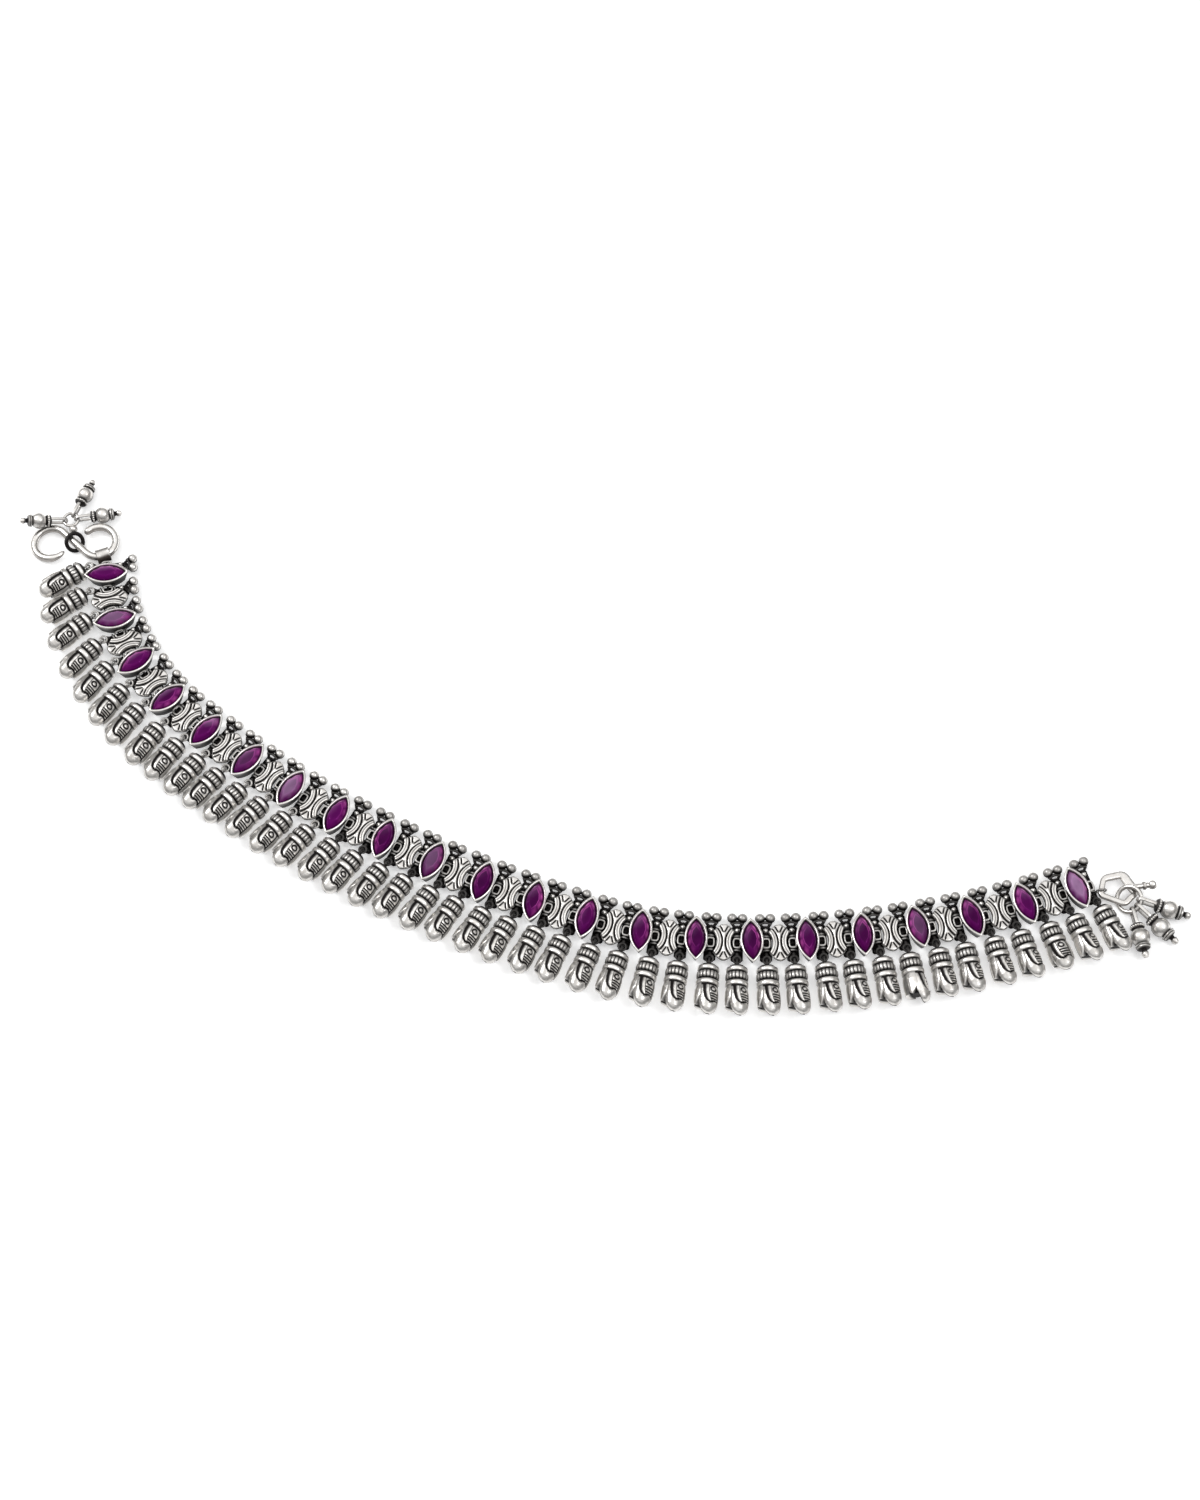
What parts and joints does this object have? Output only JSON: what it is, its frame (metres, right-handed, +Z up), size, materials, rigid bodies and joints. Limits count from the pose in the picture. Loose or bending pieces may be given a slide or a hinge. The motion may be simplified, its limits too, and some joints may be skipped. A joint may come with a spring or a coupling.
{
  "type": "anklet",
  "caption": "Silver anklet lying open in a shallow arc: marquise-cut purple stones between axe-head links, a fringe of tulip-bud drops, an S-hook and end ring with spindle drops.",
  "frame": {"origin": "centre of the bounding box's underside, on the surface that the anklet lies on", "axes": "+X along the anklet's longest extent, from the S-hook's end to the end ring's, +Y towards the clasp, +Z up"},
  "size_m": [0.2344, 0.1188, 0.0052],
  "materials": {
    "silver": "oxidised silver, bright on the high spots and dark in the recesses",
    "bright_silver": "polished silver",
    "stone": "faceted deep purple, like amethyst"
  },
  "bodies": {
    "root": {"stone_01": "stone", "stone_02": "stone", "stone_03": "stone", "stone_04": "stone", "stone_05": "stone", "stone_06": "stone", "stone_07": "stone", "stone_08": "stone", "stone_09": "stone", "stone_10": "stone", "stone_11": "stone", "stone_12": "stone", "stone_13": "stone", "stone_14": "stone", "stone_15": "stone", "stone_16": "stone", "stone_17": "stone", "stone_18": "stone", "stone_19": "stone", "stone_20": "stone", "stone_21": "stone", "stone_22": "stone", "collet_01": "silver", "collet_02": "silver", "collet_03": "silver", "collet_04": "silver", "collet_05": "silver", "collet_06": "silver", "collet_07": "silver", "collet_08": "silver", "collet_09": "silver", "collet_10": "silver", "collet_11": "silver", "collet_12": "silver", "collet_13": "silver", "collet_14": "silver", "collet_15": "silver", "collet_16": "silver", "collet_17": "silver", "collet_18": "silver", "collet_19": "silver", "collet_20": "silver", "collet_21": "silver", "collet_22": "silver", "axe_links": "silver", "cross_links": "silver", "tulip_drops": "silver", "clasp_drop_01": "silver", "clasp_drop_02": "silver", "clasp_drop_03": "silver", "end_drop_01": "silver", "end_drop_02": "silver", "end_drop_03": "silver", "clasp_eye": "bright_silver", "s_hook": "bright_silver", "clasp_ring": "bright_silver", "end_eye": "bright_silver", "end_link": "bright_silver", "end_ring": "bright_silver"}
  },
  "joints": []
}
